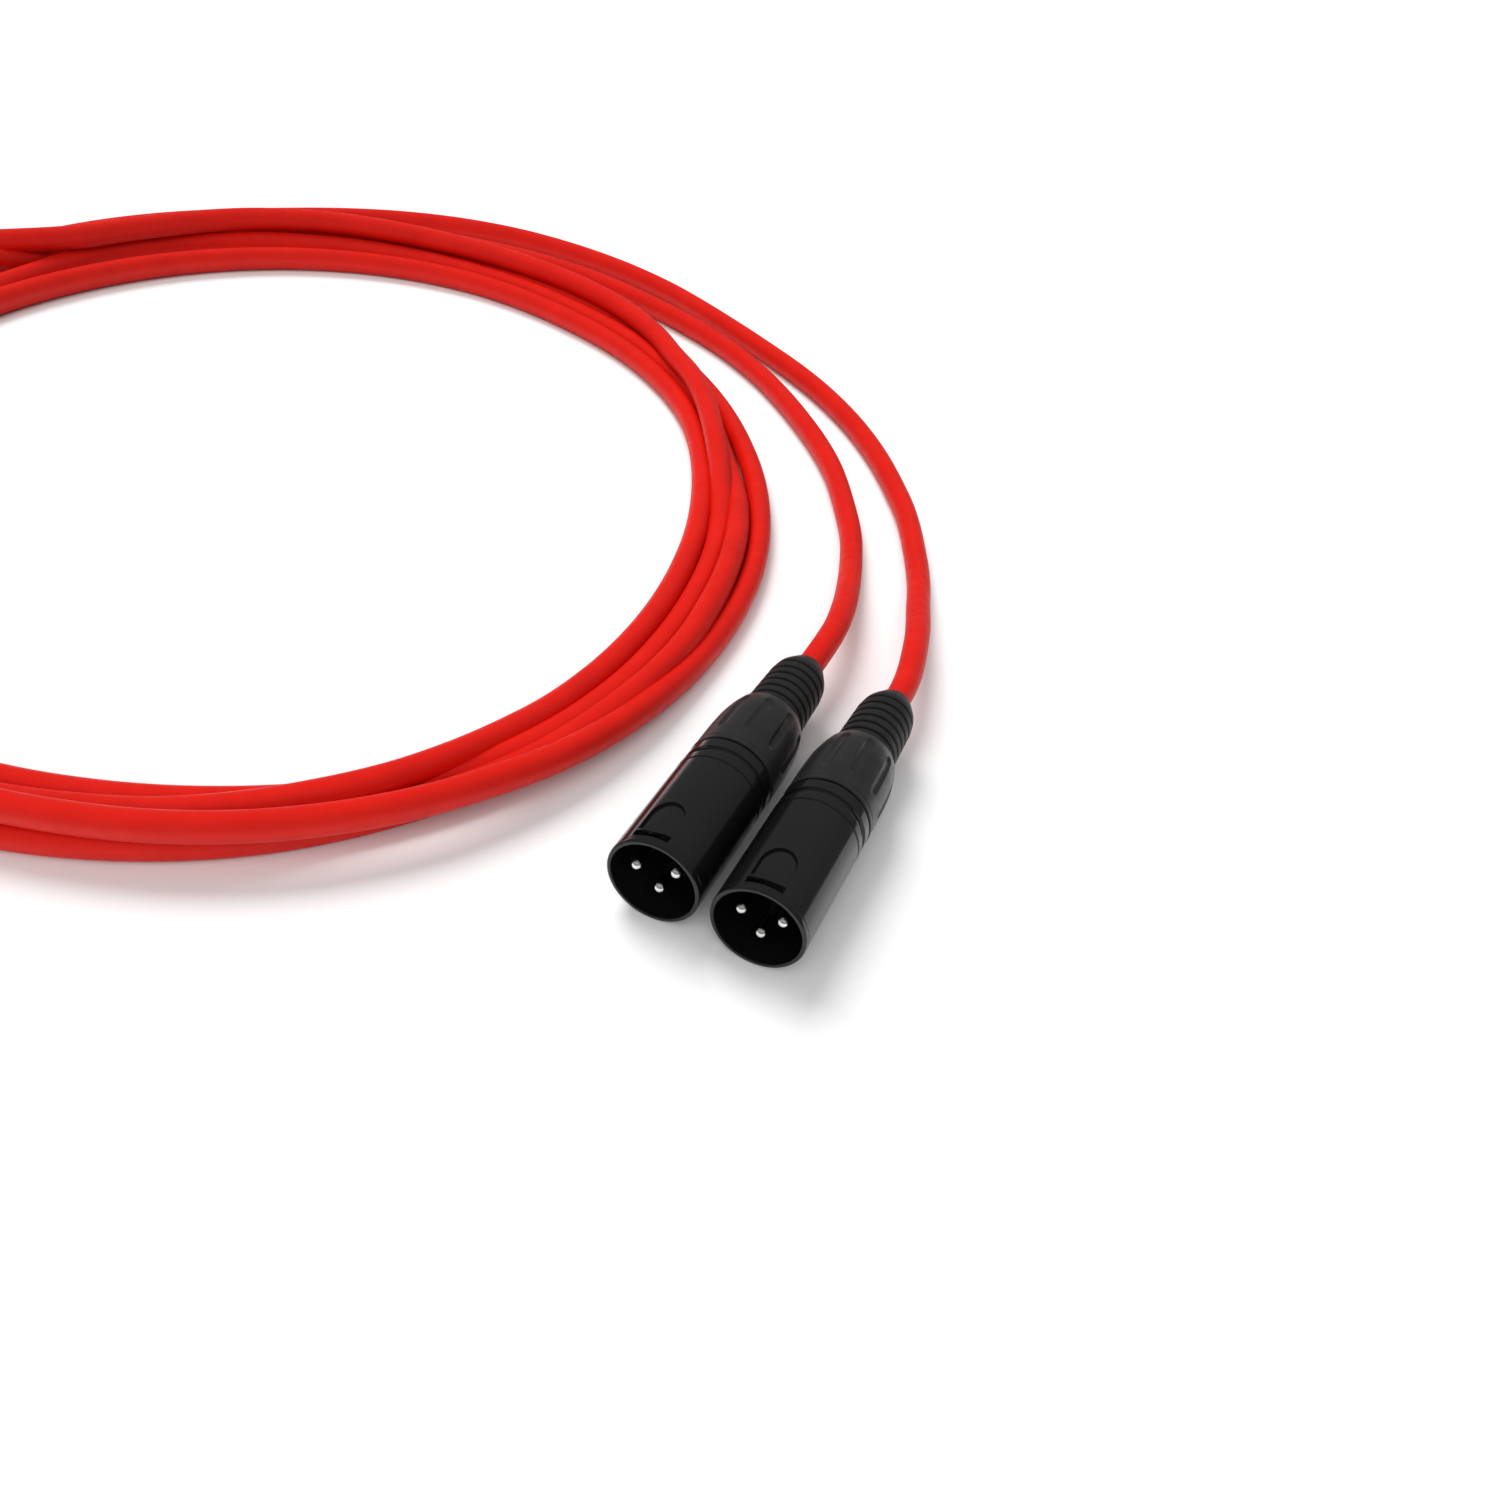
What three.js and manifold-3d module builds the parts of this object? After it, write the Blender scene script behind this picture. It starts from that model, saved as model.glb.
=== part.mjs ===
// A pair of balanced audio cables, wound together and laid flat for storage.
// Each cable has a three-pin male connector on one end and a three-hole female connector on the other.
// Millimetres, +Z up. The floor is z = 0, and the origin is on it, under the middle of the connectors.
// A connector's own axis is Y: 0 is its front rim, and its cable leaves towards +Y.
import * as THREE from "three";
import { mergeVertices } from "three/addons/utils/BufferGeometryUtils.js";
import Module from "manifold-3d";

const wasm = await Module();
wasm.setup();

// ---- Driving dimensions ----

const GAP = 0.3; // between pieces that touch on the real object
const ROUND = 24; // facets round a connector
const FINE = 8; // facets round a pin or a hole

const CABLE_R = 3.05;

const SHELL_R = 9.48; // a connector lies on its shell, so its axis is this high
const CONNECTOR_LENGTH = 76.4;
const MOUTH_R = 8.1; // bore of the male shell
const NOSE_R = 7.75; // barrel of the female, which fits that bore
const NOSE_BORE = 6.95;
const NOSE_LENGTH = 15.5;

const BUSHING_START = 34;
const BUSHING_END = 53.8;
const SLEEVE_START = 54.1;
const TAPER_START = 70; // where the sleeve's ribs stop and its tip narrows
const SPIGOT_END = 41;
const CLAMP_START = 34.6;
const CLAMP_END = 46.4;
const JACKET_START = 33.5; // the cable's jacket is stripped up to here

const CONTACTS = [
  [-4.1, 1.6],
  [4.1, 1.6],
  [0, -2.9],
]; // x and z of the three contacts, round the connector's axis
const PIN_R = 1.2;
const INSERT_START = 14.5;
const INSERT_END = 21.5;
const CUP_END = 26.6;

const MALE_FRONT_Y = -5;
const MALES = [
  { name: "male_a", x: 159.9, roll: -15 },
  { name: "male_b", x: 181, roll: -7.5 },
];
const FEMALE_FRONT_Y = -75;
const FEMALES = [
  { name: "female_a", x: -181, roll: 7.5 },
  { name: "female_b", x: -154, roll: 4 },
];

// The coil is an oval: its innermost turn follows this ellipse.
const COIL = { x: 6.4, y: 84, long: 132.5, short: 112.5, turned: 107 };
const COIL_IN = -6.3; // the coil's solid, measured outwards from that ellipse
const COIL_OUT = 19.5;
const COIL_HEIGHT = 15;

// Where each cable lies between its connector and the coil: x, y and the height of its middle.
const FLOOR = CABLE_R + 0.05;
const ROUTES = {
  cord_tail_a: [
    [159.9, JACKET_START + MALE_FRONT_Y, SHELL_R],
    [159.9, 51, SHELL_R],
    [159.9, 75, SHELL_R],
    [159.9, 83, SHELL_R],
    [159.4, 92, 9.2],
    [157.3, 103.5, 8],
    [154, 117.5, 5.8],
    [150, 131, 3.9],
    [145.3, 144, FLOOR],
    [137, 160, FLOOR],
    [128.3, 174.6, FLOOR],
    [119, 186.7, FLOOR],
    [108.5, 198.1, FLOOR],
    [97.5, 208, FLOOR],
    [84.4, 217.8, FLOOR],
    [66.8, 228.3, FLOOR],
    [48, 236.7, FLOOR],
    [28.4, 242.5, FLOOR],
    [8.2, 245.4, FLOOR],
    [-13, 244.5, FLOOR],
    [-34, 239.5, FLOOR],
    [-54, 230, FLOOR],
    [-70.5, 216.5, FLOOR],
    [-82, 200, FLOOR],
  ],
  cord_tail_b: [
    [181, JACKET_START + MALE_FRONT_Y, SHELL_R],
    [181, 51, SHELL_R],
    [181, 75, SHELL_R],
    [181, 83.5, SHELL_R],
    [180.2, 92, 9.2],
    [177, 104.5, 7.9],
    [172.6, 118.5, 5.8],
    [169, 131.5, 3.9],
    [164.4, 144, FLOOR],
    [154.6, 164.8, FLOOR],
    [146.4, 177.8, FLOOR],
    [137.7, 190, FLOOR],
    [127.9, 201.6, FLOOR],
    [117.4, 211.9, FLOOR],
    [106.6, 221, FLOOR],
    [95.1, 229.4, FLOOR],
    [82.5, 237, FLOOR],
    [66.9, 245.2, FLOOR],
    [44.7, 254.3, FLOOR],
    [21.5, 260, FLOOR],
    [-3, 261.8, FLOOR],
    [-27, 259.2, FLOOR],
    [-50, 251.8, FLOOR],
    [-70, 239.5, FLOOR],
    [-86, 223.5, FLOOR],
    [-96, 206, FLOOR],
    [-100, 189, FLOOR],
    [-98.5, 173, FLOOR],
  ],
  cord_end_a: [
    [-181, JACKET_START + FEMALE_FRONT_Y, SHELL_R],
    [-181, -19, SHELL_R],
    [-181, 5, SHELL_R],
    [-181, 13, SHELL_R],
    [-181, 21, SHELL_R],
    [-180.6, 33, 8.4],
    [-178.2, 47, 6],
    [-173.6, 62, 4.2],
    [-167, 76.5, FLOOR],
    [-158.5, 90.5, FLOOR],
    [-148.5, 103.5, 5],
    [-137, 115.5, 8],
    [-127, 126.5, 9],
    [-118, 138.5, 9],
    [-110, 151, 9],
  ],
  cord_end_b: [
    [-154, JACKET_START + FEMALE_FRONT_Y, SHELL_R],
    [-154, -19, SHELL_R],
    [-154, 5, SHELL_R],
    [-154, 13, SHELL_R],
    [-154, 21, SHELL_R],
    [-153.5, 34, 8.4],
    [-151.5, 48, 6.4],
    [-147.6, 62, 6],
    [-142, 75, 7.6],
    [-135, 87, 9],
    [-127.5, 98, 9],
    [-120, 109, 9],
  ],
};

// ---- Materials ----

const glossBlack = new THREE.MeshStandardMaterial({ color: 0x0b0b0c, roughness: 0.16, metalness: 0.35 });
const satinBlack = new THREE.MeshStandardMaterial({ color: 0x1b1b1c, roughness: 0.45, metalness: 0.1 });
const rubberBlack = new THREE.MeshStandardMaterial({ color: 0x161616, roughness: 0.7, metalness: 0 });
const insertBlack = new THREE.MeshStandardMaterial({ color: 0x0d0d0d, roughness: 0.55, metalness: 0 });
const silver = new THREE.MeshStandardMaterial({ color: 0xe4e4e2, roughness: 0.18, metalness: 1 });
const clampGrey = new THREE.MeshStandardMaterial({ color: 0x3a3a3c, roughness: 0.5, metalness: 0 });
const cableRed = new THREE.MeshStandardMaterial({ color: 0xd81e16, roughness: 0.42, metalness: 0 });

// ---- Shape helpers ----

// A closed geometry as a manifold-3d solid.
function solid(geometry) {
  const bare = geometry.clone();
  bare.deleteAttribute("normal");
  bare.deleteAttribute("uv");
  const merged = mergeVertices(bare, 1e-4);
  const mesh = new wasm.Mesh({
    numProp: 3,
    vertProperties: new Float32Array(merged.attributes.position.array),
    triVerts: new Uint32Array(merged.index.array),
  });
  return new wasm.Manifold(mesh);
}

function geometryOf(body) {
  const { vertProperties, triVerts } = body.getMesh();
  const geometry = new THREE.BufferGeometry();
  geometry.setAttribute("position", new THREE.BufferAttribute(vertProperties, 3));
  geometry.setIndex(new THREE.BufferAttribute(triVerts, 1));
  return geometry;
}

function cut(geometry, cutters) {
  return geometryOf(cutters.reduce((body, cutter) => body.subtract(solid(cutter)), solid(geometry)));
}

// A solid turned about Y. The outline, as [radius, y] pairs, runs anticlockwise with the radius to the right.
function turned(outline, facets = ROUND) {
  const first = outline[0];
  const last = outline[outline.length - 1];
  const onAxis = first[0] === 0 && last[0] === 0;
  const closed = onAxis ? outline : [...outline, first];
  return new THREE.LatheGeometry(closed.map(([r, y]) => new THREE.Vector2(r, y)), facets);
}

function rod(radius, start, end, x = 0, z = 0, facets = FINE) {
  const outline = [
    [0, start],
    [radius, start],
    [radius, end],
    [0, end],
  ];
  return turned(outline, facets).translate(x, 0, z);
}

function block(width, start, end, low, high) {
  const box = new THREE.BoxGeometry(width, end - start, high - low);
  return box.translate(0, (start + end) / 2, (low + high) / 2);
}

// A round tube that follows a list of points, with closed ends.
function tube(points, radius, sides, steps) {
  const path = new THREE.CatmullRomCurve3(points.map((p) => new THREE.Vector3(...p)), false, "centripetal");
  const section = new THREE.Shape();
  for (let i = 0; i < sides; i += 1) {
    const angle = (2 * Math.PI * i) / sides;
    section[i ? "lineTo" : "moveTo"](radius * Math.cos(angle), radius * Math.sin(angle));
  }
  return new THREE.ExtrudeGeometry(section, { steps, extrudePath: path, bevelEnabled: false });
}

function mesh(name, geometry, material) {
  const made = new THREE.Mesh(geometry, material);
  made.name = name;
  return made;
}

// ---- Pieces that both kinds of connector have ----

// The rear of both housings: two grooves, a collar and the threaded spigot that the bushing screws on.
const HOUSING_REAR = [
  [SHELL_R, 29.2],
  [SHELL_R - 0.55, 29.4],
  [SHELL_R - 0.55, 30.8],
  [SHELL_R - 0.1, 31],
  [SHELL_R - 0.1, 33.6],
  [8.2, 33.6],
  [8.2, SPIGOT_END],
];

function clampGeometry() {
  const outline = [
    [CABLE_R + GAP, CLAMP_START],
    [6.6, CLAMP_START],
    [6.6, 40.5],
    [5.4, CLAMP_END],
    [CABLE_R + GAP, CLAMP_END],
  ];
  const slits = [
    block(20, 38, CLAMP_END + 1, -0.4, 0.4),
    block(0.8, 38, CLAMP_END + 1, -10, 10),
  ];
  return cut(turned(outline, 16), slits);
}

// The grip nut that closes the connector, with finger recesses round it.
const RECESSES = 10;
function bushingGeometry() {
  const outline = [
    [8.6, BUSHING_START],
    [SHELL_R, BUSHING_START],
    [SHELL_R, 35.1],
    [9.3, 35.5],
    [9.3, 41.5],
    [8.9, 47.5],
    [8.1, 52.5],
    [7.3, BUSHING_END],
    [6, BUSHING_END],
    [6, 50.6],
    [7.2, 49.6],
    [7.2, 44.5],
    [8.6, 43],
  ];
  const recesses = [];
  for (let i = 0; i < RECESSES; i += 1) {
    const recess = new THREE.CylinderGeometry(1.3, 1.3, 12.5, 6);
    recess.rotateX(THREE.MathUtils.degToRad(-4.5));
    recess.translate(0, 45, 9.85);
    recess.rotateY((2 * Math.PI * (i + 0.5)) / RECESSES);
    recesses.push(recess);
  }
  return cut(turned(outline), recesses);
}

// The ribbed rubber sleeve that keeps the cable from kinking. Its neck is held inside the bushing.
const RIBS = 6;
function sleeveGeometry() {
  const pitch = (TAPER_START - SLEEVE_START) / RIBS;
  const outline = [
    [CABLE_R + GAP, 47],
    [6.8, 47],
    [6.8, 49],
    [5.7, 50.2],
    [5.7, SLEEVE_START],
  ];
  for (let i = 0; i < RIBS; i += 1) {
    const y = SLEEVE_START + i * pitch;
    const r = 6.95 - 0.09 * i;
    outline.push([r, y], [r, y + 0.62 * pitch], [r - 0.75, y + 0.8 * pitch]);
  }
  outline.push([6.4, TAPER_START], [6, 71.6], [4.3, 75.8]);
  outline.push([3.8, CONNECTOR_LENGTH], [CABLE_R + GAP, CONNECTOR_LENGTH]);
  return turned(outline, 14);
}

// A strip that joins the metal shell to the cable's screen.
function groundStripGeometry(bore) {
  return block(2.4, INSERT_START - 1.5, INSERT_END + 2, -(bore - 0.5), -(bore - 0.85));
}

function rearPieces(name, bore) {
  return [
    mesh(`${name}_cable_clamp`, clampGeometry(), clampGrey),
    mesh(`${name}_bushing`, bushingGeometry(), satinBlack),
    mesh(`${name}_kink_sleeve`, sleeveGeometry(), rubberBlack),
    mesh(`${name}_ground_strip`, groundStripGeometry(bore), silver),
  ];
}

// The disc that holds the contacts, with a hole for each one and a flat for the ground strip.
function insertGeometry(bore, start) {
  const holes = CONTACTS.map(([x, z]) => rod(PIN_R + GAP, start - 1, INSERT_END + 1, x, z));
  const flat = block(3.2, start - 1, INSERT_END + 1, -10, -(bore - 1.15));
  return cut(rod(bore - GAP, start, INSERT_END, 0, 0, ROUND), [...holes, flat]);
}

// ---- The male connector ----

const LATCH_SLOT = { width: 7.4, start: 1.9, end: 3.2 };
const WINDOW = { width: 6.8, start: 3.7, end: 12, depth: 0.35 };

// The shallow recess behind the latch slot: square at the front, round at the back.
function windowCutter() {
  const half = WINDOW.width / 2;
  const outline = new THREE.Shape();
  outline.moveTo(-half, WINDOW.start);
  outline.lineTo(half, WINDOW.start);
  outline.lineTo(half, WINDOW.end - half);
  outline.absarc(0, WINDOW.end - half, half, 0, Math.PI, false);
  outline.lineTo(-half, WINDOW.start);
  const prism = new THREE.ExtrudeGeometry(outline, { depth: 6, bevelEnabled: false, curveSegments: 5 });
  prism.translate(0, 0, 6);
  return cut(prism, [rod(SHELL_R - WINDOW.depth, 0, 20, 0, 0, ROUND)]);
}

function maleHousingGeometry() {
  const outline = [
    [8.6, 0],
    [9.15, 0],
    [SHELL_R, 0.35],
    ...HOUSING_REAR,
    [7, SPIGOT_END],
    [7, 24.5],
    [MOUTH_R, 24],
    [MOUTH_R, 1.4],
  ];
  const slot = block(LATCH_SLOT.width, LATCH_SLOT.start, LATCH_SLOT.end, 5, 12);
  return cut(turned(outline), [slot, windowCutter()]);
}

// A round-nosed pin with a solder cup on its back end.
function pinGeometry([x, z]) {
  const outline = [
    [0, 1.3],
    [0.8, 1.6],
    [PIN_R, 2.4],
    [PIN_R, CUP_END],
    [0.95, CUP_END],
    [0.95, 23.6],
    [0, 23.6],
  ];
  return turned(outline, FINE).translate(x, 0, z);
}

function maleConnector({ name, x, roll }) {
  const group = new THREE.Group();
  group.position.set(x, MALE_FRONT_Y, SHELL_R);
  group.rotation.y = THREE.MathUtils.degToRad(roll);
  group.add(mesh(`${name}_housing`, maleHousingGeometry(), glossBlack));
  group.add(mesh(`${name}_insert`, insertGeometry(MOUTH_R, INSERT_START), insertBlack));
  CONTACTS.forEach((place, i) => {
    group.add(mesh(`${name}_pin_${i + 1}`, pinGeometry(place), silver));
  });
  group.add(...rearPieces(name, MOUTH_R));
  return group;
}

// ---- The female connector ----

const LATCH = { width: 6.6, start: 11.6, end: 28, pivotY: 26.3, pivotZ: 7.6, pivotR: 0.6 };
const CHANNEL_FLOOR = 5.6;

// The body's roof is open above the latch, from the nose back to behind the pivot.
function latchChannel() {
  return block(LATCH.width + 2 * GAP, LATCH.start - 1, LATCH.end + 0.6, CHANNEL_FLOOR, 12);
}

// A rod along the latch's pivot, which runs across the connector.
function pivotRod(radius, reach) {
  return rod(radius, -reach, reach).rotateZ(Math.PI / 2).translate(0, LATCH.pivotY, LATCH.pivotZ);
}

function femaleHousingGeometry() {
  const outline = [
    [NOSE_BORE, 0],
    [NOSE_R - 0.4, 0],
    [NOSE_R, 0.4],
    [NOSE_R, NOSE_LENGTH],
    [9.2, NOSE_LENGTH],
    [SHELL_R, NOSE_LENGTH + 0.4],
    ...HOUSING_REAR,
    [7, SPIGOT_END],
    [7, 25],
    [NOSE_BORE, 24.6],
  ];
  return cut(turned(outline), [latchChannel(), pivotRod(LATCH.pivotR + GAP, 20)]);
}

// A tube that takes the pin, closed at the back by its solder cup's wall.
function socketGeometry([x, z]) {
  const outline = [
    [0, 14],
    [0.95, 14],
    [0.95, 1],
    [PIN_R, 1],
    [PIN_R, CUP_END],
    [0.95, CUP_END],
    [0.95, 23.6],
    [0, 23.6],
  ];
  return turned(outline, FINE).translate(x, 0, z);
}

// A lever hinged at its back end: the thumb pad pushes its hook down, out of the other shell's slot.
function latchGeometry() {
  const side = new THREE.Shape();
  side.moveTo(LATCH.start, 6.9);
  side.lineTo(LATCH.start, 8);
  side.lineTo(12.2, 8.75);
  side.lineTo(13.2, 8.75);
  side.lineTo(13.6, 7.9);
  side.lineTo(15.8, 8);
  side.lineTo(17.2, 9.7);
  side.lineTo(18, 9.9);
  side.lineTo(23.6, 9.9);
  side.lineTo(25, 9.2);
  side.lineTo(LATCH.end, 9.1);
  side.lineTo(LATCH.end, 6.4);
  side.lineTo(24.6, 6.4);
  side.lineTo(24.2, 6.9);
  const lever = new THREE.ExtrudeGeometry(side, { depth: LATCH.width, bevelEnabled: false });
  lever.translate(0, 0, -LATCH.width / 2);
  lever.applyMatrix4(new THREE.Matrix4().makeBasis(
    new THREE.Vector3(0, 1, 0),
    new THREE.Vector3(0, 0, 1),
    new THREE.Vector3(1, 0, 0),
  ));
  return cut(lever, [pivotRod(LATCH.pivotR + GAP, 20)]);
}

// A leaf under the thumb pad, which pushes it back up.
function latchSpringGeometry() {
  return block(4, 18.5, 23.5, CHANNEL_FLOOR + GAP, CHANNEL_FLOOR + 0.5);
}

// The female's insert fills its nose and is cut down behind it, clear of the latch.
function femaleInsertGeometry() {
  const clearance = block(20, LATCH.start - 1.2, INSERT_END + 1, CHANNEL_FLOOR, 12);
  return cut(insertGeometry(NOSE_BORE, 0.4), [clearance]);
}

function femaleConnector({ name, x, roll }) {
  const group = new THREE.Group();
  group.position.set(x, FEMALE_FRONT_Y, SHELL_R);
  group.rotation.y = THREE.MathUtils.degToRad(roll);
  group.add(mesh(`${name}_housing`, femaleHousingGeometry(), glossBlack));
  group.add(mesh(`${name}_insert`, femaleInsertGeometry(), insertBlack));
  CONTACTS.forEach((place, i) => {
    group.add(mesh(`${name}_socket_${i + 1}`, socketGeometry(place), silver));
  });
  group.add(mesh(`${name}_latch`, latchGeometry(), satinBlack));
  group.add(mesh(`${name}_latch_pivot`, pivotRod(LATCH.pivotR, 4.6), silver));
  group.add(mesh(`${name}_latch_spring`, latchSpringGeometry(), silver));
  group.add(...rearPieces(name, NOSE_BORE));
  return group;
}

// ---- The cables ----

// The wound turns of both cables as one oval ring, grown all round by a margin.
function coilGeometry(margin) {
  const inner = COIL.short + COIL_IN - margin;
  const outer = COIL.short + COIL_OUT + margin;
  const top = COIL_HEIGHT + margin;
  const edge = 2.6;
  const outline = [
    [inner + edge, 0.05 - margin],
    [outer - edge, 0.05 - margin],
    [outer, edge],
    [outer, top - 2 * edge],
    [outer - 2 * edge, top],
    [inner + 2 * edge, top],
    [inner, top - 2 * edge],
    [inner, edge],
  ];
  const ring = turned(outline, 56);
  ring.rotateX(Math.PI / 2);
  ring.scale(COIL.long / COIL.short, 1, 1);
  ring.rotateZ(THREE.MathUtils.degToRad(COIL.turned));
  ring.translate(COIL.x, COIL.y, 0);
  return ring;
}

// What a cable's end must stay out of where it comes up to the coil.
function coilSpace() {
  return coilGeometry(GAP);
}

const CORD_STEP = 15; // about two and a half cable diameters
function cord(name, points) {
  const legs = points.slice(1).map((point, i) => Math.hypot(...point.map((v, k) => v - points[i][k])));
  const length = legs.reduce((sum, leg) => sum + leg, 0);
  const whole = tube(points, CABLE_R, 8, Math.round(length / CORD_STEP));
  return mesh(name, cut(whole, [coilSpace()]), cableRed);
}

const pair = new THREE.Group();
MALES.forEach((place) => pair.add(maleConnector(place)));
FEMALES.forEach((place) => pair.add(femaleConnector(place)));
pair.add(mesh("cord_coil", coilGeometry(0), cableRed));
Object.entries(ROUTES).forEach(([name, points]) => pair.add(cord(name, points)));

export default pair;
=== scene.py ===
# Looks for a coiled pair of audio cables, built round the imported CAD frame. Metres, +Z up.
import math

import bmesh
import bpy
from mathutils import Matrix, Vector


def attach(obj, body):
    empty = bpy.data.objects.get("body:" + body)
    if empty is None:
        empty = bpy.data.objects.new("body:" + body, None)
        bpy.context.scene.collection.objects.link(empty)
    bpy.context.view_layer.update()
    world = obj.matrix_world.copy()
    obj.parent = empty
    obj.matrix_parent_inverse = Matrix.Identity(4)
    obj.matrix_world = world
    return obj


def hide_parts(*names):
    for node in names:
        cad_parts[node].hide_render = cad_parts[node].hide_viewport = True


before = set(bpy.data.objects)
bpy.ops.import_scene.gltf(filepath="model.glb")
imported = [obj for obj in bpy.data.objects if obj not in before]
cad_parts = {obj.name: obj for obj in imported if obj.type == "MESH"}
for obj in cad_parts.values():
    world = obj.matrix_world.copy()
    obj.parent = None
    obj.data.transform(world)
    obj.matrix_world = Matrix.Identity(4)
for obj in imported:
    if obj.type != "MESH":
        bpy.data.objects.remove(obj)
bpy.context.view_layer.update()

MM = 0.001

# ---- Camera ----

CAMERA_AT = Vector((0.20934, -0.13029, 0.15231))
CAMERA_RIGHT = Vector((0.8965, 0.4235, 0.1299))
CAMERA_DOWN = Vector((0.4089, -0.6783, -0.6105))


def add_camera():
    """A wide view from close above the connectors, tilted to one side."""
    right = CAMERA_RIGHT.normalized()
    back = right.cross(-CAMERA_DOWN).normalized()
    up = back.cross(right)
    data = bpy.data.cameras.new("camera")
    data.sensor_width = 36
    data.lens = 25.57
    data.shift_x = 0.0331
    data.shift_y = 0.1495
    data.clip_start = 0.01
    camera = bpy.data.objects.new("camera", data)
    camera.matrix_world = Matrix.Translation(CAMERA_AT) @ Matrix((right, up, back)).transposed().to_4x4()
    bpy.context.scene.collection.objects.link(camera)
    bpy.context.scene.camera = camera


add_camera()

# ---- Cables: their routes ----

CABLE_D = 6.1 * MM
LOW = 3.1  # mm: the middle of a cable that lies on the floor
SHELL_R = 9.48  # mm: a connector lies on its shell, so its axis and its cable's exit are this high
TURN_STEP = 6  # degrees between a turn's points
ROUTE_SPACING = 2.5 * MM  # between the points of a finished cable
COIL = {"x": 6.4, "y": 84, "long": 132.5, "short": 112.5, "turned": 107}


def beside_coil(angle, out, height):
    """A point in mm at a polar angle in degrees, out from the coil's innermost turn."""
    turned = math.radians(COIL["turned"])
    a = math.radians(angle) - turned
    r = 1 / math.hypot(math.cos(a) / COIL["long"], math.sin(a) / COIL["short"])
    x, y = r * math.cos(a), r * math.sin(a)
    nx, ny = x / COIL["long"] ** 2, y / COIL["short"] ** 2
    n = math.hypot(nx, ny)
    x, y = x + out * nx / n, y + out * ny / n
    return (
        COIL["x"] + x * math.cos(turned) - y * math.sin(turned),
        COIL["y"] + x * math.sin(turned) + y * math.cos(turned),
        height,
    )


# From the male connector's sleeve to where the cable comes beside the coil.
TAIL_A = [
    (159.9, 50, SHELL_R), (159.9, 70, SHELL_R), (159.9, 78, SHELL_R), (159.8, 84, 9.4), (159.3, 92, 9.1),
    (157.4, 103.5, 8), (154, 117.5, 5.8), (150, 131, 3.9), (145.3, 144, LOW), (137, 160, LOW),
    (128.3, 174.6, LOW), (119, 186.7, LOW), (108.5, 198.1, LOW), (97.8, 208.4, LOW), (85.1, 218.8, LOW),
    (67.6, 229.6, LOW), (48.3, 237.5, LOW),
]
TAIL_B = [
    (181, 50, SHELL_R), (181, 70, SHELL_R), (181, 78, SHELL_R), (180.4, 84.5, 9.4), (179.1, 92, 9.1),
    (176.4, 104.5, 7.8), (172.6, 118.5, 5.6), (169, 131.5, 3.9), (164.4, 144, LOW), (154.6, 164.8, LOW),
    (146.4, 177.8, LOW), (137.7, 190, LOW), (127.9, 201.6, LOW), (117.4, 211.9, LOW), (106.4, 220.8, LOW),
    (94.5, 228.6, LOW), (81.7, 235.6, LOW), (66, 243.5, LOW), (44.2, 253.2, LOW),
]

# Twice round the coil and a little more: the angle in degrees, the distance out from the innermost turn
# and the height, both in mm. The turns lie side by side, and cross over each other in long low humps.
TURNS_A = [
    (84, 32.2, LOW), (92, 31.6, LOW), (100, 29.8, LOW), (108, 28.4, LOW), (115, 27.4, LOW),
    (130, 26.5, LOW), (147, 26, LOW), (155, 24.3, LOW), (163, 21.5, LOW), (175, 17, LOW), (190, 12, LOW),
    (210, 7.5, LOW), (230, 5, LOW), (250, 4.2, 3.4), (270, 3.8, 4), (290, 3.7, 4.5), (300, 4.5, 5),
    (310, 5.2, 6.3), (316, 5.1, 6.5), (322, 4, 6), (330, 1.3, 4.1), (336, 0.1, 3.2), (342, -0.7, LOW),
    (348, -1.4, LOW), (360, -2.5, LOW), (372, -3.1, LOW), (384, -2.8, LOW), (396, -1.9, LOW),
    (402, -1, LOW), (408, -0.1, LOW), (414, 0.6, LOW), (420, 0.8, LOW), (432, 0.3, LOW), (444, -0.8, LOW),
    (450, -0.8, LOW), (462, -0.1, LOW), (480, 0, LOW), (525, 0, LOW), (560, -0.8, LOW), (600, -1.8, LOW),
    (640, -2.4, LOW), (650, -2, LOW), (660, -0.6, LOW), (670, 2, LOW), (680, 5.2, LOW), (690, 6.4, LOW),
    (702, 5.5, LOW), (714, 4.2, LOW), (726, 3.3, LOW), (738, 3, 3.2), (744, 2.7, 4.2), (750, 2.4, 5.4),
    (756, 2.3, 6.8), (762, 2.5, 8.3), (770, 4.2, 8.8), (780, 6.4, 8.5), (786, 7, 8.4), (792, 9.8, 8.4),
    (800, 11.2, 8.4), (810, 12, 8.4), (820, 12, 8.5), (828, 12.4, 8.8), (835, 13.2, 9.1), (842, 15, 9.2),
    (850, 15.4, 9.2), (858, 14, 9.2), (866, 12.5, 9.2), (874, 12.5, 9.2),
]
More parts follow.
